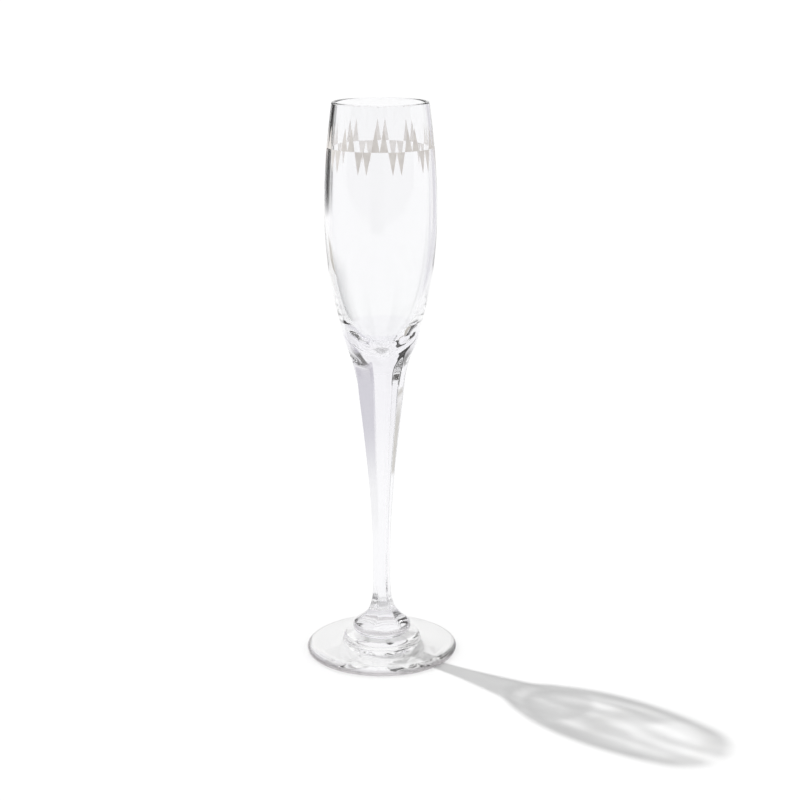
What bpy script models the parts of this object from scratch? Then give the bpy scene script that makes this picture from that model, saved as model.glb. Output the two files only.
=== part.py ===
"""Champagne flute: a blown bowl, a pressed six-sided stem, a round collar and a foot, fused at three seats.

The axis is Z, the flute stands on z = 0, and every length is in metres. The bowl's wall is half an ellipse of
revolution below its widest circle and one cubic curve above it. Its egg-shaped bottom sits in the cup at the
top of the stem. The stem is a loft: round at the cup's rim, six-sided along its length and round again at the
edge of its bell. The bell stands on the collar and the collar on the foot.
"""

import math

import bmesh
import bpy

HEIGHT = 0.250
GAP = 0.0003  # left between two fused faces
TURNS = 36  # straight sides in each circle, a multiple of the stem's six

# Bowl
BOWL_RADIUS = 0.0245  # at the widest circle
BOWL_WIDEST_Z = 0.203
BOWL_BOTTOM_Z = 0.131
RIM_RADIUS = 0.0210
RIM_WALL = 0.00165
RIM_LEAN = math.radians(8)  # of the wall towards the axis, where it meets the lip
RIM_REACH = 0.003  # length over which the wall keeps that lean
WAIST_REACH = 0.022  # length over which the wall stays upright above the widest circle
WAIST_WALL = 0.0021  # at the widest circle
CAVITY_BOTTOM_Z = 0.141
LIP_STEPS = 6
WALL_STEPS = 10

# Stem: sections of a cubic curve each, as (radius over the ridges, height)
CUP_RIM_Z = 0.1515
CUP_LAP = 0.00045  # thickness of the cup's rim, which the bowl's wall swells out to meet
CUP_LAP_TOP_Z = 0.158
CALYX_CURVE = ((0.01757, CUP_RIM_Z), (0.0159, 0.1429), (0.0110, 0.1337), (0.0103, 0.122))
TAPER_CURVE = ((0.0103, 0.122), (0.0073, 0.096), (0.0039, 0.0714), (0.0040, 0.040))
BELL_CURVE = ((0.0040, 0.040), (0.0035, 0.022), (0.0051, 0.0188), (0.0126, 0.0132))
BELL_EDGE_CURVE = ((0.0126, 0.0132), (0.0134, 0.0126), (0.0140, 0.0095), (0.0110, 0.0082))
CURVE_STEPS = 6
SIDES = 6
RIDGE_TURN = math.radians(15)  # from +X to the first ridge
ROUND_ABOVE_Z = 0.1445
SIX_SIDED_BELOW_Z = 0.1335
SIX_SIDED_ABOVE_Z = 0.0165
ROUND_BELOW_Z = 0.0115

# Collar and foot
COLLAR_RADIUS = 0.0175
COLLAR_SEAT_RADIUS = 0.0112  # the flat that the bell stands on
COLLAR_BASE_Z = 0.0047
COLLAR_EDGE_RADIUS = 0.0012
COLLAR_EDGE_START_DEG = 70
EDGE_STEPS = 6
FOOT_RADIUS = 0.03435
FOOT_TOP_Z = COLLAR_BASE_Z - GAP
FOOT_SEAT_RADIUS = 0.0180
FOOT_SHOULDER = (0.0290, 0.0031)  # where the edge begins to round over
FOOT_EDGE_Z = 0.0013  # height of the widest circle
FOOT_RING_OUTER = 0.0333
FOOT_RING_INNER = 0.0250
FOOT_DISH = 0.0008  # rise of the underside at the centre

SHARP_ANGLE = math.radians(25)
WELD_DISTANCE = 0.00001

GLASS_COLOUR = (0.95, 0.96, 0.95, 1.0)
GLASS_ROUGHNESS = 0.02
GLASS_IOR = 1.52


def blank_scene():
    for obj in list(bpy.data.objects):
        bpy.data.objects.remove(obj, do_unlink=True)


def object_collection(name):
    found = bpy.data.collections.new(name)
    bpy.context.scene.collection.children.link(found)
    return found


def glass(name):
    material = bpy.data.materials.new(name)
    material.use_nodes = True
    shader = material.node_tree.nodes["Principled BSDF"]
    shader.inputs["Base Color"].default_value = GLASS_COLOUR
    shader.inputs["Roughness"].default_value = GLASS_ROUGHNESS
    shader.inputs["Metallic"].default_value = 0.0
    shader.inputs["IOR"].default_value = GLASS_IOR
    shader.inputs["Transmission Weight"].default_value = 1.0
    return material


def ellipse_arc(centre, semi_axes, start_deg, end_deg, steps):
    """Points (r, z) of an elliptic arc. 0 degrees is outwards and 90 degrees is up."""
    points = []
    for i in range(steps + 1):
        angle = math.radians(start_deg + (end_deg - start_deg) * i / steps)
        radius = centre[0] + semi_axes[0] * math.cos(angle)
        points.append((radius, centre[1] + semi_axes[1] * math.sin(angle)))
    return points


def cubic(corners, steps):
    """Points (r, z) of a cubic Bezier curve through the first and last of its four corners."""
    points = []
    for i in range(steps + 1):
        t = i / steps
        weights = ((1 - t) ** 3, 3 * t * (1 - t) ** 2, 3 * t**2 * (1 - t), t**3)
        points.append(tuple(sum(w * c[axis] for w, c in zip(weights, corners)) for axis in (0, 1)))
    return points


def smooth_step(value, start, end):
    t = min(max((value - start) / (end - start), 0.0), 1.0)
    return t * t * (3 - 2 * t)


def finish_mesh(obj, material, collection):
    obj.data.materials.append(material)
    obj.data.shade_smooth()
    obj.data.set_sharp_from_angle(angle=SHARP_ANGLE)
    collection.objects.link(obj)
    return obj


def turned(name, profile, material, collection):
    """A solid of revolution. The profile runs from the axis, down its outer side, and back to the axis."""
    mesh = bpy.data.meshes.new(name)
    points = [(r, 0.0, z) for r, z in profile]
    mesh.from_pydata(points, [(i, i + 1) for i in range(len(points) - 1)], [])
    obj = finish_mesh(bpy.data.objects.new(name, mesh), material, collection)
    screw = obj.modifiers.new("Turn", "SCREW")
    screw.axis = "Z"
    screw.angle = math.tau
    screw.steps = TURNS
    screw.render_steps = TURNS
    screw.use_merge_vertices = True
    screw.merge_threshold = WELD_DISTANCE
    screw.use_smooth_shade = True
    return obj


def upper_wall(waist_radius, lip_point):
    """The wall above the widest circle: upright there, and leaning in by RIM_LEAN where it meets the lip."""
    upright = (waist_radius, BOWL_WIDEST_Z + WAIST_REACH)
    leaning = (lip_point[0] + RIM_REACH * math.sin(RIM_LEAN), lip_point[1] - RIM_REACH * math.cos(RIM_LEAN))
    return cubic(((waist_radius, BOWL_WIDEST_Z), upright, leaning, lip_point), LIP_STEPS)


def cup_lap(z):
    """How far the outer wall swells to meet the cup's rim. It grows with the square of the depth."""
    return CUP_LAP * (max(CUP_LAP_TOP_Z - z, 0.0) / (CUP_LAP_TOP_Z - CUP_RIM_Z)) ** 2


def bowl_profile():
    lip = RIM_WALL / 2
    lean_deg = math.degrees(RIM_LEAN)
    lip_arc = ellipse_arc((RIM_RADIUS - lip, HEIGHT - lip), (lip, lip), 180 + lean_deg, lean_deg, LIP_STEPS)
    centre = (0.0, BOWL_WIDEST_Z)
    inside_radius = BOWL_RADIUS - WAIST_WALL
    shoulder_z = CUP_RIM_Z + GAP
    depth = BOWL_WIDEST_Z - BOWL_BOTTOM_Z
    seat = (BOWL_RADIUS - GAP, depth - GAP)
    shoulder_deg = math.degrees(math.asin((BOWL_WIDEST_Z - shoulder_z) / depth))
    seat_deg = math.degrees(math.asin((BOWL_WIDEST_Z - shoulder_z) / seat[1]))
    cavity = ellipse_arc(centre, (inside_radius, BOWL_WIDEST_Z - CAVITY_BOTTOM_Z), -90, 0, WALL_STEPS)
    inside_wall = upper_wall(inside_radius, lip_arc[0])
    outside_wall = upper_wall(BOWL_RADIUS, lip_arc[-1])[::-1]
    lower_wall = ellipse_arc(centre, (BOWL_RADIUS, depth), 0, -shoulder_deg, WALL_STEPS)
    lower_wall = [(r + cup_lap(z), z) for r, z in lower_wall]
    egg_bottom = ellipse_arc(centre, seat, -seat_deg, -90, WALL_STEPS)
    return cavity + inside_wall[1:] + lip_arc[1:] + outside_wall[1:] + lower_wall[1:] + egg_bottom


def six_sidedness(z):
    """0 where the stem is round and 1 where it is fully six-sided."""
    top = smooth_step(z, ROUND_ABOVE_Z, SIX_SIDED_BELOW_Z)
    bottom = smooth_step(z, ROUND_BELOW_Z, SIX_SIDED_ABOVE_Z)
    return min(top, bottom)


def stem_ring(radius, z, facets):
    """One ring of the stem: radius over the ridges, drawn in towards the middle of each flat."""
    half_side = math.pi / SIDES
    ring = []
    for i in range(TURNS):
        from_ridge = (math.tau * i / TURNS) % (2 * half_side)
        flat = math.cos(half_side) / math.cos(from_ridge - half_side)
        r = radius * (1 + facets * (flat - 1))
        angle = RIDGE_TURN + math.tau * i / TURNS
        ring.append((r * math.cos(angle), r * math.sin(angle), z))
    return ring


def stem_rings():
    """Rings from the bottom of the cup, up its wall, over its rim, down the outside and under the bell."""
    rim_deg = math.degrees(math.asin((BOWL_WIDEST_Z - CUP_RIM_Z) / (BOWL_WIDEST_Z - BOWL_BOTTOM_Z)))
    semi_axes = (BOWL_RADIUS, BOWL_WIDEST_Z - BOWL_BOTTOM_Z)
    cup = ellipse_arc((0.0, BOWL_WIDEST_Z), semi_axes, -90, -rim_deg, WALL_STEPS)
    outside = cubic(CALYX_CURVE, 2 * CURVE_STEPS) + cubic(TAPER_CURVE, CURVE_STEPS)[1:]
    outside += cubic(BELL_CURVE, 2 * CURVE_STEPS)[1:] + cubic(BELL_EDGE_CURVE, CURVE_STEPS)[1:]
    rings = [stem_ring(r, z, 0.0) for r, z in cup[1:]]
    rings += [stem_ring(r, z, six_sidedness(z)) for r, z in outside]
    return cup[0][1], rings, outside[-1][1]


def stem(collection):
    """A loft through unlike rings, closed by a fan at the bottom of the cup and one under the bell."""
    cup_z, rings, base_z = stem_rings()
    bm = bmesh.new()
    cup_pole = bm.verts.new((0.0, 0.0, cup_z))
    base_pole = bm.verts.new((0.0, 0.0, base_z))
    loops = [[bm.verts.new(point) for point in ring] for ring in rings]
    for i in range(TURNS):
        j = (i + 1) % TURNS
        bm.faces.new((cup_pole, loops[0][i], loops[0][j]))
        bm.faces.new((base_pole, loops[-1][j], loops[-1][i]))
        for upper, lower in zip(loops, loops[1:]):
            bm.faces.new((upper[i], lower[i], lower[j], upper[j]))
    mesh = bpy.data.meshes.new("stem")
    bm.to_mesh(mesh)
    bm.free()
    return finish_mesh(bpy.data.objects.new("stem", mesh), glass("pressed_glass_stem"), collection)


def collar_profile():
    top_z = BELL_EDGE_CURVE[-1][1] - GAP
    edge = COLLAR_EDGE_RADIUS
    edge_centre = (COLLAR_RADIUS - edge, COLLAR_BASE_Z + edge)
    edge_arc = ellipse_arc(edge_centre, (edge, edge), COLLAR_EDGE_START_DEG, -90, EDGE_STEPS)
    return [(0.0, top_z), (COLLAR_SEAT_RADIUS, top_z)] + edge_arc + [(0.0, COLLAR_BASE_Z)]


def foot_profile():
    shoulder_r, shoulder_z = FOOT_SHOULDER
    over = ellipse_arc(
        (shoulder_r, FOOT_EDGE_Z), (FOOT_RADIUS - shoulder_r, shoulder_z - FOOT_EDGE_Z), 90, 0, EDGE_STEPS
    )
    under = ellipse_arc(
        (FOOT_RING_OUTER, FOOT_EDGE_Z), (FOOT_RADIUS - FOOT_RING_OUTER, FOOT_EDGE_Z), 0, -90, EDGE_STEPS
    )
    dish = [
        (FOOT_RING_INNER * (1 - t), FOOT_DISH * smooth_step(t, 0.0, 1.0))
        for t in (i / EDGE_STEPS for i in range(EDGE_STEPS + 1))
    ]
    return [(0.0, FOOT_TOP_Z), (FOOT_SEAT_RADIUS, FOOT_TOP_Z)] + over + under[1:] + dish


def main():
    blank_scene()
    parts = object_collection("champagne_flute")
    turned("bowl", bowl_profile(), glass("blown_glass_bowl"), parts)
    stem(parts)
    turned("collar", collar_profile(), glass("pressed_glass_collar"), parts)
    turned("foot", foot_profile(), glass("pressed_glass_foot"), parts)


main()
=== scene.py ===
"""Looks of a champagne flute: a blown bowl with an etched frieze, on a six-sided stem, a collar and a foot.

Every length is in metres, the axis is Z and the flute stands on z = 0. Each piece of glass is one closed
surface. Where two pieces are fused, both stop on the same surface, and that surface is clear, so that light
goes from one to the other as it does through glass that was joined hot.
"""

import logging
import math
from dataclasses import dataclass
from enum import Enum
from typing import Any

import bpy
import numpy as np
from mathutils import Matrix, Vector


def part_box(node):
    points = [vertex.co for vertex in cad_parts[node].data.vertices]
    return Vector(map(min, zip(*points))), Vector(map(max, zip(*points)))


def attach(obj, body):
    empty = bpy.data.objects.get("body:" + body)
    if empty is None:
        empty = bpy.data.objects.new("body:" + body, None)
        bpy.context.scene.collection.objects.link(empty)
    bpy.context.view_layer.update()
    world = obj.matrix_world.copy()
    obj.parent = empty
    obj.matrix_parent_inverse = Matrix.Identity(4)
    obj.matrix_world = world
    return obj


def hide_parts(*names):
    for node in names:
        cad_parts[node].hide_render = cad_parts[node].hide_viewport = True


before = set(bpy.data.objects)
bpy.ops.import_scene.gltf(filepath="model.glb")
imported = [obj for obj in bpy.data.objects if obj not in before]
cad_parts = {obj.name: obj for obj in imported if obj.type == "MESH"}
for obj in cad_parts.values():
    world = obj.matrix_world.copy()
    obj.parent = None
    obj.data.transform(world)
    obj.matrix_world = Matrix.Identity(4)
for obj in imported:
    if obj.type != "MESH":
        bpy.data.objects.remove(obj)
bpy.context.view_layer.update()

LOG = logging.getLogger("flute")
BODY = "root"
SHARP_EDGE = math.radians(35)
SIDES = 6
MM = 0.001
GLASS_IOR = 1.52
# The two middle corners of a cubic curve, each a radius and a height.
Pull = tuple[tuple[float, float], tuple[float, float]]


class Face(Enum):
    """Material slot of a face: on the piece's outside, or inside a hot joint."""

    OUTSIDE = 0
    FUSED = 1


class Finish(Enum):
    """The finishes that a piece can carry."""

    BLOWN = "blown_glass"
    PRESSED = "pressed_glass"
    ETCHED = "etched_glass"


def linear(code: str) -> tuple[float, float, float, float]:
    """Turns an sRGB hex colour to linear light.

    Args:
        code: Six hex digits after a #.

    Returns:
        Linear red, green, blue and an alpha of 1.
    """
    shares = [int(code[i : i + 2], 16) / 255 for i in (1, 3, 5)]
    red, green, blue = (s / 12.92 if s <= 0.04045 else ((s + 0.055) / 1.055) ** 2.4 for s in shares)
    return red, green, blue, 1.0


def add_node(
    tree: bpy.types.NodeTree, kind: str, settings: dict[Any, Any], links: dict[Any, Any]
) -> bpy.types.Node:
    """Adds one node to a tree.

    Args:
        tree: The tree that the node goes in.
        kind: Blender's name for the node's class.
        settings: Values for the node's input sockets, or for its own properties.
        links: The output socket that feeds each input socket.

    Returns:
        The new node.
    """
    node = tree.nodes.new(kind)
    for name, value in settings.items():
        if isinstance(name, int) or name in node.inputs:
            node.inputs[name].default_value = value
        else:
            setattr(node, name, value)
    for name, socket in links.items():
        tree.links.new(socket, node.inputs[name])
    return node


def blank_material(name: str) -> tuple[bpy.types.Material, bpy.types.NodeTree]:
    """Makes a material with an empty node tree.

    Args:
        name: The material's name.

    Returns:
        The material and its tree.
    """
    material = bpy.data.materials.new(name)
    material.use_nodes = True
    material.node_tree.nodes.clear()
    return material, material.node_tree


def smooth_step(value: np.ndarray, start: float, end: float) -> np.ndarray:
    """Rises from 0 at start to 1 at end as 3t^2 - 2t^3, where t is the share of the way."""
    t = np.clip((value - start) / (end - start), 0.0, 1.0)
    return t * t * (3 - 2 * t)


def cubic(corners: tuple[tuple[float, float], ...], steps: int) -> np.ndarray:
    """Points of a cubic Bezier curve: its corners times (1-t)^3, 3t(1-t)^2, 3t^2(1-t) and t^3, added up.

    Args:
        corners: Radius and height of the four corners.
        steps: Number of stretches that the curve is cut into.

    Returns:
        An array of steps + 1 rows of radius and height.
    """
    t = np.linspace(0.0, 1.0, steps + 1)[:, None]
    a, b, c, d = (np.array(corner) for corner in corners)
    return (1 - t) ** 3 * a + 3 * t * (1 - t) ** 2 * b + 3 * t**2 * (1 - t) * c + t**3 * d


def ellipse_arc(
    centre: tuple[float, float], semi_axes: tuple[float, float], start: float, end: float, steps: int
) -> np.ndarray:
    """Points of an elliptic arc: the centre plus the semi-axes times the cosine and sine of an angle.

    Args:
        centre: Radius and height of the centre.
        semi_axes: Half widths along the radius and along the height.
        start: First angle in radians. 0 is outwards and a quarter turn is up.
        end: Last angle in radians.
        steps: Number of stretches that the arc is cut into.

    Returns:
        An array of steps + 1 rows of radius and height.
    """
    angles = np.linspace(start, end, steps + 1)
    return np.array(centre) + np.array(semi_axes) * np.column_stack([np.cos(angles), np.sin(angles)])


def join_profile(*stretches: np.ndarray) -> np.ndarray:
    """Joins stretches of a profile end to end, without the points that they share."""
    return np.concatenate([stretches[0], *(stretch[1:] for stretch in stretches[1:])])


def rings_of(profile: np.ndarray, angles: np.ndarray, shares: np.ndarray | float = 1.0) -> np.ndarray:
    """Turns a profile about the axis: x, y, z = share r cos(a), share r sin(a), z.

    Args:
        profile: Rows of radius and height.
        angles: The angles a of a ring's points.
        shares: Share of the radius at each row and angle, for a ring that isn't round.

    Returns:
        An array of rings, each with one point for each angle.
    """
    radius = profile[:, :1] * shares * np.ones(len(angles))
    height = profile[:, 1:] * np.ones(len(angles))
    return np.stack([radius * np.cos(angles), radius * np.sin(angles), height], axis=2)


def even_angles(turns: int) -> np.ndarray:
    """The angles of that many points spaced evenly round a circle."""
    return np.arange(turns) * math.tau / turns


def clear_for_shadows(
    tree: bpy.types.NodeTree, shader: bpy.types.NodeSocket, clear: bpy.types.NodeSocket
) -> bpy.types.NodeSocket:
    """Keeps a shader for the eye and puts a clear one in its place for shadows, so that some sun passes.

    Args:
        tree: The material's tree.
        shader: What the eye sees.
        clear: The clear shader that tints the shadow.

    Returns:
        The shader to use.
    """
    ray = add_node(tree, "ShaderNodeLightPath", {}, {}).outputs["Is Shadow Ray"]
    return add_node(tree, "ShaderNodeMixShader", {}, {0: ray, 1: shader, 2: clear}).outputs["Shader"]


@dataclass(frozen=True)
class ClearGlass:
    """Soda-lime glass with a fire-polished surface, in which slow waves are left from the forming.

    The eye gets clean refraction that wavers a little along the waves, a breath of haze that comes and goes,
    a grey that deepens outwards, which is the glass's own tint and, at the foot's rim, painted shade, and a
    shadow with dark edges and pale streaks inside.
    """

    name: str
    thin: str
    # Tint at the outer end of the span: the glass's own grey, and at the foot's rim painted shade for its
    # dark edge band.
    outer_tint_and_shade: str
    tint_and_shade_span_mm: tuple[float, float]
    wave_mm: float
    wave_stretch: float
    wave_height_mm: float
    haze: tuple[float, float]
    shadow_clear: float
    shadow_streaks: tuple[float, float]
    shadow_edge: tuple[float, float] = (0.62, 0.97)
    streak_mm: float = 7.0
    streak_stretch: float = 8.0
    streak_span: tuple[float, float] = (0.35, 0.65)
    haze_mm: float = 14.0
    haze_span: tuple[float, float] = (0.35, 0.75)
    ior: float = GLASS_IOR

    def material(self) -> bpy.types.Material:
        """Makes the glass: waves as bump, haze as roughness and tint by radius, in the object's coordinates.

        Returns:
            The material.
        """
        material, tree = blank_material(self.name)
        place = add_node(tree, "ShaderNodeTexCoord", {}, {}).outputs["Object"]
        drawn = add_node(
            tree, "ShaderNodeMapping", {"Scale": (1.0, 1.0, 1 / self.wave_stretch)}, {"Vector": place}
        )
        waves = add_node(
            tree,
            "ShaderNodeTexNoise",
            {"Scale": 1 / (MM * self.wave_mm), "Detail": 1.0, "Roughness": 0.4},
            {"Vector": drawn.outputs["Vector"]},
        )
        bump = add_node(
            tree,
            "ShaderNodeBump",
            {"Strength": 1.0, "Distance": MM * self.wave_height_mm},
            {"Height": waves.outputs["Fac"]},
        )
        breath = add_node(
            tree, "ShaderNodeTexNoise", {"Scale": 1 / (MM * self.haze_mm), "Detail": 3.0}, {"Vector": place}
        )
        low, high = self.haze_span
        haze = add_node(
            tree,
            "ShaderNodeMapRange",
            {"From Min": low, "From Max": high, "To Min": self.haze[0], "To Max": self.haze[1]},
            {"Value": breath.outputs["Fac"]},
        )
        flat = add_node(
            tree, "ShaderNodeVectorMath", {"operation": "MULTIPLY", 1: (1.0, 1.0, 0.0)}, {0: place}
        )
        radius = add_node(
            tree, "ShaderNodeVectorMath", {"operation": "LENGTH"}, {0: flat.outputs["Vector"]}
        )
        # The tint goes from the inner colour to the outer one with the radius. At the foot's rim this is
        # painted shade for the dark band at its edge, on top of the glass's own grey.
        start, end = (MM * mm for mm in self.tint_and_shade_span_mm)
        thickness = add_node(
            tree,
            "ShaderNodeMapRange",
            {"From Min": start, "From Max": end},
            {"Value": radius.outputs["Value"]},
        )
        colour = add_node(tree, "ShaderNodeValToRGB", {}, {"Fac": thickness.outputs["Result"]})
        first, last = colour.color_ramp.elements
        first.color, last.color = linear(self.thin), linear(self.outer_tint_and_shade)
        shader = add_node(
            tree,
            "ShaderNodeBsdfPrincipled",
            {"IOR": self.ior, "Transmission Weight": 1.0},
            {
                "Base Color": colour.outputs["Color"],
                "Roughness": haze.outputs["Result"],
                "Normal": bump.outputs["Normal"],
            },
        )
        lit = self.lets_sun_through(tree, shader.outputs["BSDF"], place)
        add_node(tree, "ShaderNodeOutputMaterial", {}, {"Surface": lit})
        return material

    def lets_sun_through(
        self, tree: bpy.types.NodeTree, glass: bpy.types.NodeSocket, place: bpy.types.NodeSocket
    ) -> bpy.types.NodeSocket:
        """Lets part of the sun through for shadows: most where it meets the wall squarely, none at the edge.

        Args:
            tree: The glass's tree.
            glass: The glass's shader.
            place: The object's coordinates.

        Returns:
            The shader to use.
        """
        facing = add_node(tree, "ShaderNodeLayerWeight", {"Blend": 0.5}, {}).outputs["Facing"]
        clear_to, dark_from = self.shadow_edge
        square = add_node(
            tree,
            "ShaderNodeMapRange",
            {"From Min": clear_to, "From Max": dark_from, "To Min": self.shadow_clear, "To Max": 0.0},
            {"Value": facing},
        ).outputs["Result"]
        drawn = add_node(
            tree, "ShaderNodeMapping", {"Scale": (1.0, 1.0, 1 / self.streak_stretch)}, {"Vector": place}
        ).outputs["Vector"]
        streak = add_node(
            tree, "ShaderNodeTexNoise", {"Scale": 1 / (MM * self.streak_mm), "Detail": 2.0}, {"Vector": drawn}
        )
        low, high = self.streak_span
        dim, bright = self.shadow_streaks
        streaks = add_node(
            tree,
            "ShaderNodeMapRange",
            {"From Min": low, "From Max": high, "To Min": dim, "To Max": bright},
            {"Value": streak.outputs["Fac"]},
        ).outputs["Result"]
        share = add_node(
            tree, "ShaderNodeMath", {"operation": "MULTIPLY", "use_clamp": True}, {0: square, 1: streaks}
        )
        through = add_node(tree, "ShaderNodeBsdfTransparent", {}, {"Color": share.outputs["Value"]})
        return clear_for_shadows(tree, glass, through.outputs["BSDF"])


@dataclass(frozen=True)
class FusedFace:
    """The inside of a hot joint, where glass meets glass. The eye gets nothing: light goes straight on."""

    name: str = "fused_face"

    def material(self) -> bpy.types.Material:
        """Makes the clear material of a joint's hidden face.

        Returns:
            The material.
        """
        material, tree = blank_material(self.name)
        clear = add_node(tree, "ShaderNodeBsdfTransparent", {}, {})
        add_node(tree, "ShaderNodeOutputMaterial", {}, {"Surface": clear.outputs["BSDF"]})
        return material


@dataclass(frozen=True)
class EtchedGlass:
    """Glass bitten by acid through a stencil: a matt, warm grey skin with a fine crystal grain.

    The eye gets an even satin tone, a little mottled where the acid bit deeper. Faces seen from inside the
    bowl get a paler tone, which is painted light for the light that the etching lets through from behind. The
    real grain is a few hundredths of a millimetre. It is drawn 0.25 mm coarse so that it shows.
    """

    name: str = "etched_satin"
    pale: str = "#D4D0CC"
    deep: str = "#C8C3BF"
    # Paler tone of faces seen from inside the bowl: painted light for what the etching lets through from
    # behind.
    inside: str = "#F6F2ED"
    shadow: str = "#F2F1EF"
    grain_mm: float = 0.25
    grain_height_mm: float = 0.03125
    mottle_mm: float = 3.0
    mottle_span: tuple[float, float] = (0.35, 0.65)
    roughness: float = 0.55
    ior: float = GLASS_IOR

    def material(self) -> bpy.types.Material:
        """Makes the satin: mottled outside, paler inside as painted light, with crystal grain as bump, and a
        faint shadow.

        A face looks outwards where its normal and its place, as an arrow from the origin, point the same way.

        Returns:
            The material.
        """
        material, tree = blank_material(self.name)
        place = add_node(tree, "ShaderNodeTexCoord", {}, {}).outputs["Object"]
        mottle = add_node(
            tree, "ShaderNodeTexNoise", {"Scale": 1 / (MM * self.mottle_mm), "Detail": 4.0}, {"Vector": place}
        )
        colour = add_node(tree, "ShaderNodeValToRGB", {}, {"Fac": mottle.outputs["Fac"]})
        first, last = colour.color_ramp.elements
        first.position, last.position = self.mottle_span
        first.color, last.color = linear(self.deep), linear(self.pale)
        normal = add_node(tree, "ShaderNodeNewGeometry", {}, {}).outputs["Normal"]
        facing = add_node(tree, "ShaderNodeVectorMath", {"operation": "DOT_PRODUCT"}, {0: place, 1: normal})
        outwards = add_node(
            tree, "ShaderNodeMath", {"operation": "GREATER_THAN", 1: 0.0}, {0: facing.outputs["Value"]}
        )
        # Inward faces take the paler inside tone, which is painted light, not a second finish.
        tone = add_node(
            tree,
            "ShaderNodeMix",
            {"data_type": "RGBA", 6: linear(self.inside)},
            {0: outwards.outputs["Value"], 7: colour.outputs["Color"]},
        )
        grain = add_node(
            tree, "ShaderNodeTexNoise", {"Scale": 1 / (MM * self.grain_mm), "Detail": 2.0}, {"Vector": place}
        )
        bump = add_node(
            tree,
            "ShaderNodeBump",
            {"Strength": 0.6, "Distance": MM * self.grain_height_mm},
            {"Height": grain.outputs["Fac"]},
        )
        shader = add_node(
            tree,
            "ShaderNodeBsdfPrincipled",
            {"Roughness": self.roughness, "IOR": self.ior},
            {"Base Color": tone.outputs[2], "Normal": bump.outputs["Normal"]},
        )
        through = add_node(tree, "ShaderNodeBsdfTransparent", {"Color": linear(self.shadow)}, {})
        lit = clear_for_shadows(tree, shader.outputs["BSDF"], through.outputs["BSDF"])
        add_node(tree, "ShaderNodeOutputMaterial", {}, {"Surface": lit})
        return material


@dataclass
class Skin:
    """One closed surface, as rings from one pole on the axis to the other.

    The rings run up an inner side and down an outer side, so that every face looks out of the glass.
    """

    name: str
    rings: np.ndarray
    first_pole: float
    last_pole: float
    fused_rings: np.ndarray

    def points(self) -> np.ndarray:
        """The first pole, every ring's points in order, and the last pole, as rows of x, y, z."""
        poles = np.array([[0.0, 0.0, self.first_pole], [0.0, 0.0, self.last_pole]])
        return np.concatenate([poles[:1], self.rings.reshape(-1, 3), poles[1:]])

    def faces(self) -> tuple[np.ndarray, np.ndarray]:
        """Works out the faces: a fan at each pole and four-sided faces between one ring and the next.

        Returns:
            The fans' triangles, first pole's then last pole's, and the four-sided faces in ring order.
        """
        rows, turns = self.rings.shape[:2]
        index = 1 + np.arange(rows * turns).reshape(rows, turns)
        after = np.roll(index, -1, axis=1)
        last = np.full(turns, rows * turns + 1)
        top = np.column_stack([np.zeros(turns, int), index[0], after[0]])
        bottom = np.column_stack([last, after[-1], index[-1]])
        bands = np.stack([index[:-1], index[1:], after[1:], after[:-1]], axis=2)
        return np.concatenate([top, bottom]), bands.reshape(-1, 4)

    def build(self, glass: bpy.types.Material, clear: bpy.types.Material) -> bpy.types.Object:
        """Makes the object, with its outside of glass and its fused faces clear.

        Args:
            glass: Material of the outside.
            clear: Material of the faces inside a joint.

        Returns:
            The object, at the origin.
        """
        turns = self.rings.shape[1]
        triangles, squares = self.faces()
        fused = self.fused_rings
        inside = np.concatenate([np.repeat(fused[[0, -1]], turns), np.repeat(fused[:-1] & fused[1:], turns)])
        slots = np.where(inside, Face.FUSED.value, Face.OUTSIDE.value).astype(np.int32)
        mesh = mesh_of(self.name, self.points(), [triangles, squares], slots)
        border = fused & ~(np.roll(fused, 1) & np.roll(fused, -1))
        mark_sharp(mesh, 1 + np.flatnonzero(np.repeat(border, turns)))
        obj = bpy.data.objects.new(self.name, mesh)
        obj.data.materials.append(glass)
        obj.data.materials.append(clear)
        bpy.context.scene.collection.objects.link(obj)
        return obj


def mesh_of(name: str, points: np.ndarray, faces: list[np.ndarray], slots: np.ndarray) -> bpy.types.Mesh:
    """Puts arrays into a mesh.

    Args:
        name: The mesh's name.
        points: Rows of x, y, z.
        faces: Arrays of faces, each array with faces of one number of corners.
        slots: The material slot of each face.

    Returns:
        The mesh, smooth but for its sharp edges.
    """
    mesh = bpy.data.meshes.new(name)
    mesh.vertices.add(len(points))
    mesh.vertices.foreach_set("co", points.astype(np.float32).ravel())
    corners = np.concatenate([array.ravel() for array in faces]).astype(np.int32)
    sizes = np.concatenate([np.full(len(array), array.shape[1]) for array in faces])
    starts = np.concatenate([[0], np.cumsum(sizes)[:-1]]).astype(np.int32)
    mesh.loops.add(len(corners))
    mesh.loops.foreach_set("vertex_index", corners)
    mesh.polygons.add(len(sizes))
    mesh.polygons.foreach_set("loop_start", starts)
    mesh.polygons.foreach_set("material_index", slots)
    mesh.update(calc_edges=True)
    mesh.validate()
    mesh.shade_smooth()
    mesh.set_sharp_from_angle(angle=SHARP_EDGE)
    return mesh


def mark_sharp(mesh: bpy.types.Mesh, points: np.ndarray) -> None:
    """Makes sharp every edge whose two ends are both among these points.

    Args:
        mesh: The mesh.
        points: Numbers of its points.
    """
    ends = np.empty(2 * len(mesh.edges), np.int32)
    mesh.edges.foreach_get("vertices", ends)
    sharp = np.empty(len(mesh.edges), bool)
    mesh.edges.foreach_get("use_edge_sharp", sharp)
    sharp |= np.isin(ends.reshape(-1, 2), points).all(axis=1)
    mesh.edges.foreach_set("use_edge_sharp", sharp)


def place_piece(obj: bpy.types.Object, finish: Finish, *nodes: str) -> None:
    """Rides a piece on the flute, hides the CAD nodes that it stands for, and logs it.

    Args:
        obj: The piece.
        finish: Its finish. Not used.
        nodes: The CAD nodes that it stands for. The frieze has none of its own.
    """
    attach(obj, BODY)
    if nodes:
        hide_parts(*nodes)
    LOG.info("%s: %d faces", obj.name, len(obj.data.polygons))


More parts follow.
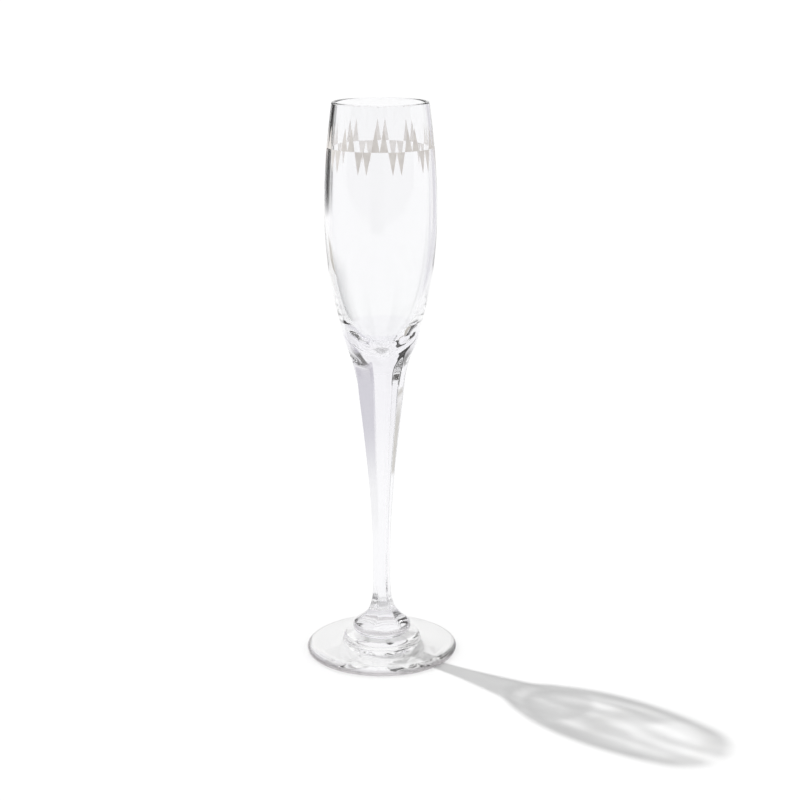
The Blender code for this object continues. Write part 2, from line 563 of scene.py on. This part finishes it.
@dataclass
class Bowl:
    """The blown bowl: an egg of revolution with an open, fire-polished rim, seated in the stem's cup."""

    radius: float
    height: float
    bottom_z: float
    cup_rim_z: float
    widest_z: float = 0.203
    rim_radius: float = 0.0210
    rim_wall: float = 0.00165
    rim_lean: float = math.radians(8)
    rim_reach: float = 0.003
    waist_reach: float = 0.022
    waist_wall: float = 0.0021
    cavity_bottom_z: float = 0.141
    lap: float = 0.00045
    lap_top_z: float = 0.158
    turns: int = 288
    steps: int = 46

    def upper_wall(self, waist_radius: float, lip_point: np.ndarray) -> np.ndarray:
        """A wall above the widest circle: a cubic curve, upright there and leaning in where it meets the lip.

        Args:
            waist_radius: The wall's radius at the widest circle.
            lip_point: Radius and height of the point where the wall meets the lip.

        Returns:
            Rows of radius and height, from the widest circle up.
        """
        waist = (waist_radius, self.widest_z)
        above_waist = (waist_radius, self.widest_z + self.waist_reach)
        below_lip = lip_point + self.rim_reach * np.array([math.sin(self.rim_lean), -math.cos(self.rim_lean)])
        return cubic((waist, above_waist, tuple(below_lip), tuple(lip_point)), self.steps)

    def swell(self, z: np.ndarray) -> np.ndarray:
        """The outer wall's swelling to the cup's rim: the lap times the square of the share of the way."""
        return self.lap * (np.maximum(self.lap_top_z - z, 0.0) / (self.lap_top_z - self.cup_rim_z)) ** 2

    def seat(self) -> np.ndarray:
        """The joint with the cup: in from the cup's rim, then half an ellipse down to the axis.

        Returns:
            Rows of radius and height, from the seam on the outside to just short of the axis.
        """
        depth = self.widest_z - self.bottom_z
        start = math.asin((self.widest_z - self.cup_rim_z) / depth)
        egg = ellipse_arc((0.0, self.widest_z), (self.radius, depth), -start, -math.pi / 2, self.steps)
        return np.concatenate([[self.seam()], egg[:-1]])

    def seam(self) -> tuple[float, float]:
        """Finds the ring where the outsides of bowl and stem meet.

        Returns:
            Its radius and height.
        """
        depth = self.widest_z - self.bottom_z
        egg = self.radius * math.sqrt(1 - ((self.widest_z - self.cup_rim_z) / depth) ** 2)
        return egg + self.lap, self.cup_rim_z

    def outer_radius(self, z: np.ndarray) -> np.ndarray:
        """The outside's radius at these heights above the widest circle, read off the upper wall."""
        wall = self.upper_wall(self.radius, self.lip()[-1])
        return np.interp(z, wall[:, 1], wall[:, 0])

    def lip(self) -> np.ndarray:
        """The rim's round lip: half a circle from the inner wall over the top to the outer wall.

        Returns:
            Rows of radius and height.
        """
        half = self.rim_wall / 2
        centre = (self.rim_radius - half, self.height - half)
        return ellipse_arc(centre, (half, half), math.pi + self.rim_lean, self.rim_lean, self.steps // 4)

    def outside(self) -> np.ndarray:
        """The whole surface that shows: up the cavity, over the lip and down the outside to the seam.

        Returns:
            Rows of radius and height.
        """
        inside_radius = self.radius - self.waist_wall
        centre = (0.0, self.widest_z)
        cavity = ellipse_arc(
            centre, (inside_radius, self.widest_z - self.cavity_bottom_z), -math.pi / 2, 0.0, 2 * self.steps
        )
        depth = self.widest_z - self.bottom_z
        start = math.asin((self.widest_z - self.cup_rim_z) / depth)
        lower = ellipse_arc(centre, (self.radius, depth), 0.0, -start, 2 * self.steps)
        lower[:, 0] += self.swell(lower[:, 1])
        lip = self.lip()
        inside_wall = self.upper_wall(inside_radius, lip[0])
        outside_wall = self.upper_wall(self.radius, lip[-1])[::-1]
        return join_profile(cavity[1:], inside_wall, lip, outside_wall, lower)

    def build(self, glass: bpy.types.Material, clear: bpy.types.Material) -> bpy.types.Object:
        """Makes the bowl.

        Args:
            glass: Material of the outside.
            clear: Material of the face fused to the stem.

        Returns:
            The object.
        """
        shown = self.outside()
        profile = join_profile(shown, self.seat())
        fused = np.arange(len(profile)) >= len(shown) - 1
        rings = rings_of(profile, even_angles(self.turns))
        skin = Skin("bowl_glass", rings, self.cavity_bottom_z, self.bottom_z, fused)
        return skin.build(glass, clear)


@dataclass
class Frieze:
    """The zigzag etched round the bowl below its rim: pairs of slim triangles, up and down by turns."""

    bowl: Bowl
    base_z: float = 0.2308
    reach: float = 0.0095
    groups: int = 20
    pair: int = 2
    first_turn: float = math.radians(-90.3)
    proud: float = 0.00002
    narrowing: float = 0.97
    rows: int = 16
    columns: int = 8

    def build(self, satin: bpy.types.Material) -> bpy.types.Object:
        """Makes every triangle as a thin closed plate that follows the bowl.

        A point's height is the base line plus a share of the reach. Its angle is the triangle's middle plus
        half the triangle's width, times how far across it is, times what is left of the width at that height.
        A tip keeps a sliver of its width. A point's radius is the bowl's outside plus once or twice the
        plate's thickness.

        Args:
            satin: Material of the etched glass.

        Returns:
            The object.
        """
        count = self.groups * self.pair
        width = math.tau / count
        which = np.arange(count)
        middle = self.first_turn + (which - (self.pair - 1) / 2) * width
        way = np.where(which // self.pair % 2 == 0, 1.0, -1.0)
        rise = np.linspace(0.0, 1.0, self.rows + 1)
        across = np.linspace(-1.0, 1.0, self.columns + 1)
        z = self.base_z + way[:, None] * self.reach * rise
        left = 1 - self.narrowing * rise
        angle = middle[:, None, None] + width / 2 * left[None, :, None] * across
        outside = self.bowl.outer_radius(z)[:, :, None]
        sheets = []
        for layer in (2, 1):
            radius = (outside + layer * self.proud) * np.ones_like(angle)
            height = z[:, :, None] * np.ones_like(angle)
            sheets.append(np.stack([radius * np.cos(angle), radius * np.sin(angle), height], axis=3))
        loops = np.concatenate([sheets[0], sheets[1][:, :, ::-1]], axis=2)
        return self.plates(loops, way, satin)

    def plates(self, loops: np.ndarray, way: np.ndarray, satin: bpy.types.Material) -> bpy.types.Object:
        """Closes each triangle's stack of loops into a plate with its faces outwards.

        Args:
            loops: For each triangle and row, the points across its front and back across its rear.
            way: 1 for a triangle that points up and -1 for one that points down.
            satin: Material of the plates.

        Returns:
            The object.
        """
        count, rows, around = loops.shape[:3]
        index = np.arange(count * rows * around).reshape(count, rows, around)
        after = np.roll(index, -1, axis=2)
        sides = np.stack([index[:, :-1], after[:, :-1], after[:, 1:], index[:, 1:]], axis=3)
        half = around // 2
        front, rear = index[:, :, :half], index[:, :, :half - 1:-1]
        bridge = np.stack([front[:, :, :-1], rear[:, :, :-1], rear[:, :, 1:], front[:, :, 1:]], axis=3)
        ends = [bridge[:, 0], bridge[:, -1, :, ::-1]]
        faces = np.concatenate([sides.reshape(count, -1, 4), *ends], axis=1)
        faces[way < 0] = faces[way < 0][:, :, ::-1]
        flat = faces.reshape(-1, 4)
        mesh = mesh_of("etched_frieze", loops.reshape(-1, 3), [flat], np.zeros(len(flat), np.int32))
        obj = bpy.data.objects.new("etched_frieze", mesh)
        obj.data.materials.append(satin)
        bpy.context.scene.collection.objects.link(obj)
        return obj


@dataclass
class Stem:
    """The pressed stem: a cup round the bowl's bottom, a six-sided taper and a bell on the collar.

    Each pull is the two middle corners of one of its outline's four cubic curves.
    """

    cup: np.ndarray
    cup_bottom_z: float
    base_z: float
    ridge_turn: float = math.radians(15)
    ridge_power: float = 44.0
    neck_radius: float = 0.0040
    neck_z: float = 0.040
    waist: tuple[float, float] = (0.0103, 0.122)
    bell_edge: tuple[float, float] = (0.0126, 0.0132)
    base_radius: float = 0.0110
    cup_pull: Pull = ((0.0159, 0.1429), (0.0110, 0.1337))
    taper_pull: Pull = ((0.0073, 0.096), (0.0039, 0.0714))
    bell_pull: Pull = ((0.0035, 0.022), (0.0051, 0.0188))
    edge_pull: Pull = ((0.0134, 0.0126), (0.0140, 0.0095))
    round_above_z: float = 0.1445
    six_sided_below_z: float = 0.1335
    six_sided_above_z: float = 0.0165
    round_below_z: float = 0.0115
    crowding: float = 0.75
    turns: int = 216
    steps: int = 84

    def outside(self) -> np.ndarray:
        """The outline over the ridges: four cubic curves, from the bowl's seam to the collar's.

        Returns:
            Rows of radius and height.
        """
        neck = (self.neck_radius, self.neck_z)
        base = (self.base_radius, self.base_z)
        cup = cubic((tuple(self.cup[0]), *self.cup_pull, self.waist), self.steps)
        taper = cubic((self.waist, *self.taper_pull, neck), self.steps // 2)
        bell = cubic((neck, *self.bell_pull, self.bell_edge), self.steps)
        edge = cubic((self.bell_edge, *self.edge_pull, base), self.steps // 2)
        return join_profile(cup, taper, bell, edge)

    def six_sidedness(self, z: np.ndarray) -> np.ndarray:
        """How six-sided the stem is, with a smooth step at either end of its facets.

        Args:
            z: Heights.

        Returns:
            A share for each height: 0 where the stem is round and 1 where it is fully six-sided.
        """
        top = smooth_step(z, self.round_above_z, self.six_sided_below_z)
        bottom = smooth_step(z, self.round_below_z, self.six_sided_above_z)
        return np.minimum(top, bottom)

    def angles(self) -> np.ndarray:
        """A ring's angles, crowded towards the ridges: t less a share of sin(6t) / 6, from a ridge."""
        t = even_angles(self.turns)
        return self.ridge_turn + t - self.crowding * np.sin(SIDES * t) / SIDES

    def facets(self, angles: np.ndarray) -> np.ndarray:
        """The section of a six-sided bar with soft ridges, as a share of its radius over the ridges.

        The radius is the flat's distance over the p-norm of the cosines of the angles to the six flats. A
        true hexagon has the largest cosine there, and a p-norm of a high power rounds off its ridges.

        Args:
            angles: The angles of a ring's points.

        Returns:
            A share for each angle: 1 on a ridge.
        """
        flats = self.ridge_turn + (np.arange(SIDES) + 0.5) * math.tau / SIDES
        cosines = np.maximum(np.cos(angles[:, None] - flats), 0.0)
        norm = (cosines**self.ridge_power).sum(axis=1) ** (1 / self.ridge_power)
        return math.cos(math.pi / SIDES) * 2 ** (1 / self.ridge_power) / norm

    def build(self, glass: bpy.types.Material, clear: bpy.types.Material) -> bpy.types.Object:
        """Makes the stem. The cup inside it is round, and so are its two ends.

        Args:
            glass: Material of the outside.
            clear: Material of the faces fused to the bowl and to the collar.

        Returns:
            The object.
        """
        angles = self.angles()
        shown = self.outside()
        profile = join_profile(self.cup[::-1], shown)
        amount = self.six_sidedness(profile[:, 1])
        amount[: len(self.cup)] = 0.0
        shares = 1 + amount[:, None] * (self.facets(angles) - 1)
        row = np.arange(len(profile))
        fused = (row < len(self.cup)) | (row == len(profile) - 1)
        skin = Skin("stem_glass", rings_of(profile, angles, shares), self.cup_bottom_z, self.base_z, fused)
        return skin.build(glass, clear)


@dataclass
class Collar:
    """The collar: a pressed disc with a soft shoulder, fused between the bell and the foot.

    The skirt's pull is measured from its outer radius and its base.
    """

    radius: float
    top_z: float
    top_radius: float
    base_z: float
    flare: float = 0.0005
    flat_share: float = 0.85
    side_share: float = 0.45
    shoulder_drop: float = 0.0003
    skirt_pull: Pull = ((0.0, 0.0006), (0.00015, 0.0002))
    turns: int = 216
    steps: int = 40

    def base_radius(self) -> float:
        """Radius of the seam with the foot."""
        return self.radius + self.flare

    def build(self, glass: bpy.types.Material, clear: bpy.types.Material) -> bpy.types.Object:
        """Makes the collar from two cubic curves, one over its shoulder and one down its side to the foot.

        Args:
            glass: Material of the outside.
            clear: Material of the two fused faces.

        Returns:
            The object.
        """
        top = (self.top_radius, self.top_z)
        flat_end = (self.flat_share * self.radius, self.top_z)
        side_start = (self.radius, self.top_z - self.shoulder_drop)
        side = (self.radius, self.base_z + self.side_share * (self.top_z - self.base_z))
        skirt_corners = ((self.radius + out, self.base_z + up) for out, up in self.skirt_pull)
        shoulder = cubic((top, flat_end, side_start, side), self.steps)
        skirt = cubic((side, *skirt_corners, (self.base_radius(), self.base_z)), self.steps // 2)
        profile = join_profile(shoulder, skirt)
        fused = np.zeros(len(profile), bool)
        fused[[0, -1]] = True
        rings = rings_of(profile, even_angles(self.turns))
        skin = Skin("collar_glass", rings, self.top_z, self.base_z, fused)
        return skin.build(glass, clear)


@dataclass
class Foot:
    """The foot: a thin disc that falls from the collar to a round edge and stands on a ring under it."""

    radius: float
    seam_radius: float
    seam_z: float
    shoulder: tuple[float, float] = (0.0290, 0.0031)
    edge_z: float = 0.0013
    ring_outer: float = 0.0333
    ring_inner: float = 0.0250
    dish: float = 0.0008
    pull_from_seam: tuple[float, float] = (0.0022, -0.0006)
    pull_from_shoulder: tuple[float, float] = (-0.0035, 0.0003)
    turns: int = 288
    steps: int = 60

    def build(self, glass: bpy.types.Material, clear: bpy.types.Material) -> bpy.types.Object:
        """Makes the foot: a cubic top, an edge of two quarter ellipses, a flat ring and a smooth dish.

        Args:
            glass: Material of the outside.
            clear: Material of the face fused to the collar.

        Returns:
            The object.
        """
        out, up = self.shoulder
        seam = (self.seam_radius, self.seam_z)
        after_seam = tuple(np.add(seam, self.pull_from_seam))
        before_shoulder = tuple(np.add(self.shoulder, self.pull_from_shoulder))
        top = cubic((seam, after_seam, before_shoulder, self.shoulder), self.steps)
        over_reach = (self.radius - out, up - self.edge_z)
        over = ellipse_arc((out, self.edge_z), over_reach, math.pi / 2, 0.0, self.steps)
        under_reach = (self.radius - self.ring_outer, self.edge_z)
        under = ellipse_arc((self.ring_outer, self.edge_z), under_reach, 0.0, -math.pi / 2, self.steps // 2)
        inwards = np.linspace(1.0, 0.0, self.steps + 1)[:-1]
        hollow = np.column_stack([self.ring_inner * inwards, self.dish * smooth_step(inwards, 1.0, 0.0)])
        profile = join_profile(top, over, under, np.concatenate([under[-1:], hollow]))
        fused = np.zeros(len(profile), bool)
        fused[0] = True
        skin = Skin("foot_glass", rings_of(profile, even_angles(self.turns)), self.seam_z, self.dish, fused)
        return skin.build(glass, clear)


@dataclass(frozen=True)
class Card:
    """A card stood by the flute with soft edges. It shows only in the glass, as lines and shaded facets.

    It has a place for its middle, a turn from facing along Y, a width, the height of its foot, its own height
    and a shade. Its soft edges are shares of its width or height. One that is mirror_only shows by reflection
    alone.
    """

    name: str
    place: tuple[float, float]
    turn: float
    width: float
    low_z: float
    height: float
    shade: str
    soft_side: float = 0.15
    soft_foot: float = 0.15
    soft_head: float = 0.02
    mirror_only: bool = False

    def build(self) -> None:
        """Makes the card as a unit card, then stretches, turns and places it."""
        mesh = bpy.data.meshes.new(self.name)
        mesh.from_pydata([(-1, 0, 0), (1, 0, 0), (1, 0, 1), (-1, 0, 1)], [], [(0, 1, 2, 3)])
        mesh.materials.append(self.material())
        obj = bpy.data.objects.new(self.name, mesh)
        obj.location = (*self.place, self.low_z)
        obj.rotation_euler = (0.0, 0.0, self.turn)
        obj.scale = (self.width / 2, 1.0, self.height)
        obj.visible_camera = obj.visible_diffuse = obj.visible_shadow = False
        obj.visible_transmission = not self.mirror_only
        bpy.context.scene.collection.objects.link(obj)

    def material(self) -> bpy.types.Material:
        """Makes the card's shade, which is clear at its edges and solid at a soft edge's width inside them.

        Returns:
            The material.
        """
        material, tree = blank_material(self.name)
        place = add_node(tree, "ShaderNodeTexCoord", {}, {}).outputs["Object"]
        axes = add_node(tree, "ShaderNodeSeparateXYZ", {}, {"Vector": place}).outputs
        across = add_node(tree, "ShaderNodeMath", {"operation": "ABSOLUTE"}, {0: axes["X"]}).outputs["Value"]
        fades = [
            add_node(
                tree,
                "ShaderNodeMapRange",
                {"interpolation_type": "SMOOTHSTEP", "From Min": clear_at, "From Max": solid_at},
                {"Value": value},
            ).outputs["Result"]
            for value, clear_at, solid_at in (
                (across, 1.0, 1.0 - 2 * self.soft_side),
                (axes["Z"], 0.0, self.soft_foot),
                (axes["Z"], 1.0, 1.0 - self.soft_head),
            )
        ]
        low = add_node(tree, "ShaderNodeMath", {"operation": "MULTIPLY"}, {0: fades[0], 1: fades[1]})
        both = {0: low.outputs["Value"], 1: fades[2]}
        solid = add_node(tree, "ShaderNodeMath", {"operation": "MULTIPLY"}, both)
        clear = add_node(tree, "ShaderNodeBsdfTransparent", {}, {}).outputs["BSDF"]
        matt = add_node(tree, "ShaderNodeEmission", {"Color": linear(self.shade)}, {}).outputs["Emission"]
        mixed = add_node(tree, "ShaderNodeMixShader", {}, {0: solid.outputs["Value"], 1: clear, 2: matt})
        add_node(tree, "ShaderNodeOutputMaterial", {}, {"Surface": mixed.outputs["Shader"]})
        return material


@dataclass(frozen=True)
class Studio:
    """The floor, the light and the camera."""

    sky: str = "#FFFFFF"
    sky_strength: float = 1.0
    floor_colour: str = "#C4C4C4"
    floor_size: float = 30.0
    floor_drop: float = 0.0002
    sun_strength: float = 3.16
    sun_from: tuple[float, float, float] = (-0.75, 0.61, 1.54)
    sun_width: float = math.radians(1.2)
    camera_place: tuple[float, float, float] = (0.008348, -0.736914, 0.314629)
    camera_down: float = math.radians(14.92)
    lens_mm: float = 76.957
    bounces: int = 64
    clear_bounces: int = 48
    matt_bounces: int = 6
    # The left cards draw the dark lines down the glass, the right ones shade its facets, and the rooms dim
    # its reflections a little.
    cards: tuple[Card, ...] = (
        Card("left_wall", (-0.618, 1.029), math.radians(31), 0.64, 0.0, 0.45, "#161311", 0.06, 0.12),
        Card("left_low", (-0.35, 0.30), math.radians(90), 0.50, 0.0, 0.08, "#BCB8AF", 0.1, 0.1, 0.3),
        Card("left_high", (-0.50, 0.20), math.radians(90), 1.60, 0.26, 0.90, "#1E1915", 0.1, 0.3, 0.3),
        Card("left_near", (-0.13, 0.035), math.radians(90), 0.14, 0.0, 0.15, "#1C1812", 0.2, 0.1, 0.15),
        Card("right_wall", (0.50, 1.00), math.radians(90), 0.90, 0.0, 0.45, "#DAD8DE", 0.1, 0.1),
        Card("right_low", (0.22, 0.40), math.radians(90), 0.80, 0.0, 0.16, "#E2E1E6", 0.1, 0.4, 0.4),
        Card("right_high", (0.50, 0.20), math.radians(90), 1.60, 0.26, 0.90, "#45423F", 0.1, 0.4, 0.3),
        Card("far_room", (0.0, -0.95), 0.0, 7.00, 0.0, 1.3, "#8E8C91", 0.1, 0.05, mirror_only=True),
        Card("near_room", (-0.09, -0.80), 0.0, 0.52, 0.0, 1.3, "#14120F", 0.25, 0.03, mirror_only=True),
    )

    def build(self) -> None:
        """Makes the whole studio."""
        self.lay_floor()
        self.hang_light()
        self.stand_camera()
        for card in self.cards:
            card.build()
        scene = bpy.context.scene
        scene.view_settings.view_transform = "Standard"
        scene.cycles.max_bounces = self.bounces
        scene.cycles.transmission_bounces = self.clear_bounces
        scene.cycles.glossy_bounces = self.clear_bounces
        scene.cycles.transparent_max_bounces = self.clear_bounces
        scene.cycles.diffuse_bounces = self.matt_bounces
        scene.cycles.blur_glossy = 0.0
        scene.cycles.use_denoising = True

    def lay_floor(self) -> None:
        """Lays a plain pale floor just under the foot. The eye gets an even matt ground for the shadow."""
        half = self.floor_size / 2
        corners = ((-half, -half), (half, -half), (half, half), (-half, half))
        mesh = bpy.data.meshes.new("floor")
        mesh.from_pydata([(x, y, -self.floor_drop) for x, y in corners], [], [(0, 1, 2, 3)])
        material, tree = blank_material("pale_floor")
        matt = add_node(tree, "ShaderNodeBsdfDiffuse", {"Color": linear(self.floor_colour)}, {})
        add_node(tree, "ShaderNodeOutputMaterial", {}, {"Surface": matt.outputs["BSDF"]})
        mesh.materials.append(material)
        floor = bpy.data.objects.new("floor", mesh)
        bpy.context.scene.collection.objects.link(floor)

    def hang_light(self) -> None:
        """Sets a plain bright sky and a sun behind the flute's left shoulder."""
        world = bpy.data.worlds.new("sky")
        world.use_nodes = True
        world.node_tree.nodes.clear()
        glow = {"Color": linear(self.sky), "Strength": self.sky_strength}
        sky = add_node(world.node_tree, "ShaderNodeBackground", glow, {})
        add_node(world.node_tree, "ShaderNodeOutputWorld", {}, {"Surface": sky.outputs["Background"]})
        bpy.context.scene.world = world
        sun = bpy.data.lights.new("sun", "SUN")
        sun.energy = self.sun_strength
        sun.angle = self.sun_width
        obj = bpy.data.objects.new("sun", sun)
        obj.location = Vector(self.sun_from)
        obj.rotation_euler = (-Vector(self.sun_from)).to_track_quat("-Z", "Y").to_euler()
        bpy.context.scene.collection.objects.link(obj)

    def stand_camera(self) -> None:
        """Stands the camera in front of the flute, looking along +Y and a little down."""
        data = bpy.data.cameras.new("camera")
        data.lens = self.lens_mm
        camera = bpy.data.objects.new("camera", data)
        camera.location = self.camera_place
        camera.rotation_euler = (math.pi / 2 - self.camera_down, 0.0, 0.0)
        bpy.context.scene.collection.objects.link(camera)
        bpy.context.scene.camera = camera


def main() -> None:
    """Builds the flute piece by piece, then the studio."""
    logging.basicConfig(level=logging.INFO, format="%(message)s")
    bowl_low, bowl_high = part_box("bowl")
    stem_low, stem_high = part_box("stem")
    collar_low, collar_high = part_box("collar")
    foot_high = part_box("foot")[1]
    blown = ClearGlass(
        name="blown_glass",
        thin="#FBFCFC",
        outer_tint_and_shade="#FBFBFC",
        tint_and_shade_span_mm=(5.0, 24.0),
        wave_mm=26.0,
        wave_stretch=3.0,
        wave_height_mm=0.05,
        haze=(0.0, 0.02),
        shadow_clear=0.91,
        shadow_streaks=(0.62, 1.14),
    ).material()
    bar = ClearGlass(
        name="stem_glass",
        thin="#F8F8FA",
        outer_tint_and_shade="#F2F1F5",
        tint_and_shade_span_mm=(5.0, 9.0),
        wave_mm=9.0,
        wave_stretch=2.0,
        wave_height_mm=0.05,
        haze=(0.0, 0.03),
        shadow_clear=0.5,
        shadow_streaks=(0.7, 1.2),
    ).material()
    disc = ClearGlass(
        name="foot_glass",
        thin="#FEFEFE",
        # The deep grey at the rim is painted shade for the dark band at the foot's edge.
        outer_tint_and_shade="#B4B0B2",
        tint_and_shade_span_mm=(32.4, 34.3),
        wave_mm=9.0,
        wave_stretch=2.0,
        wave_height_mm=0.02,
        haze=(0.0, 0.03),
        shadow_clear=1.0,
        shadow_streaks=(1.0, 1.1),
    ).material()
    clear = FusedFace().material()
    bowl = Bowl(bowl_high.x, bowl_high.z, bowl_low.z, stem_high.z)
    stem = Stem(bowl.seat(), bowl_low.z, stem_low.z)
    collar = Collar(collar_high.x, stem_low.z, stem.base_radius, collar_low.z)
    foot = Foot(foot_high.x, collar.base_radius(), collar_low.z)
    bowl_glass = bowl.build(blown, clear)
    stem_glass = stem.build(bar, clear)
    collar_glass = collar.build(disc, clear)
    foot_glass = foot.build(disc, clear)
    place_piece(bowl_glass, Finish.BLOWN, "bowl")
    place_piece(Frieze(bowl).build(EtchedGlass().material()), Finish.ETCHED)
    place_piece(stem_glass, Finish.PRESSED, "stem")
    place_piece(collar_glass, Finish.PRESSED, "collar")
    place_piece(foot_glass, Finish.PRESSED, "foot")
    Studio().build()


if __name__ == "__main__":
    main()
